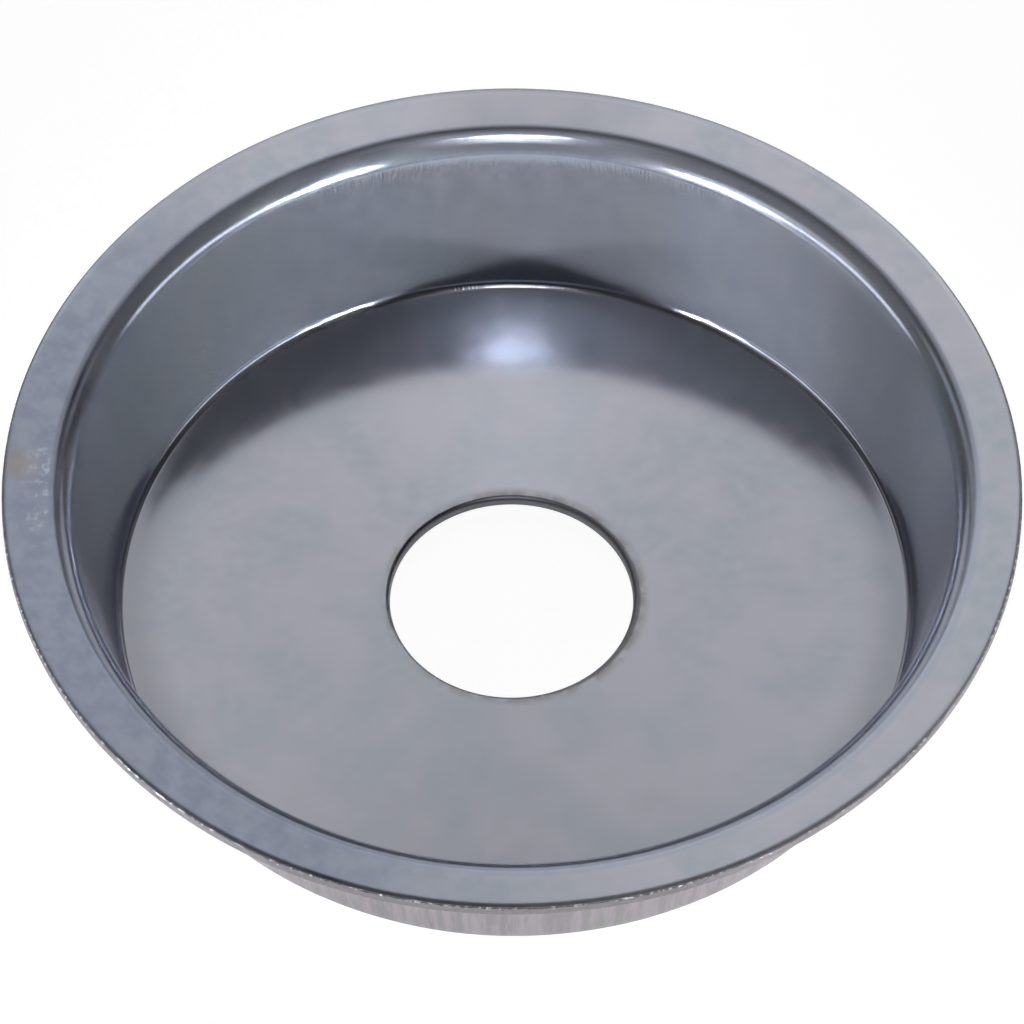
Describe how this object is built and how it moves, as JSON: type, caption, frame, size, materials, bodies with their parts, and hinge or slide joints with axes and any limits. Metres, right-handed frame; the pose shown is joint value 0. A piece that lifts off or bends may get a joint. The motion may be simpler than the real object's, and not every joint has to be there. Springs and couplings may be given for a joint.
{
  "type": "turbo heat shield",
  "caption": "Pressed sheet-steel heat shield: shallow tapered cup with a flat flange round its mouth, a sharp floor corner and a pierced hole in its slightly dished floor.",
  "frame": {"origin": "on the cup's axis, in the plane of the flat ring under the floor that the cup stands on", "axes": "+Z along the cup's axis, out of its mouth; the piece is round, so +X and +Y are free"},
  "size_m": [0.085, 0.085, 0.0163],
  "materials": {
    "pressed_steel": "satin, as pressed from cold-rolled sheet, with fine draw marks on the wall"
  },
  "bodies": {
    "root": {"heat_shield": "pressed_steel"}
  },
  "joints": []
}
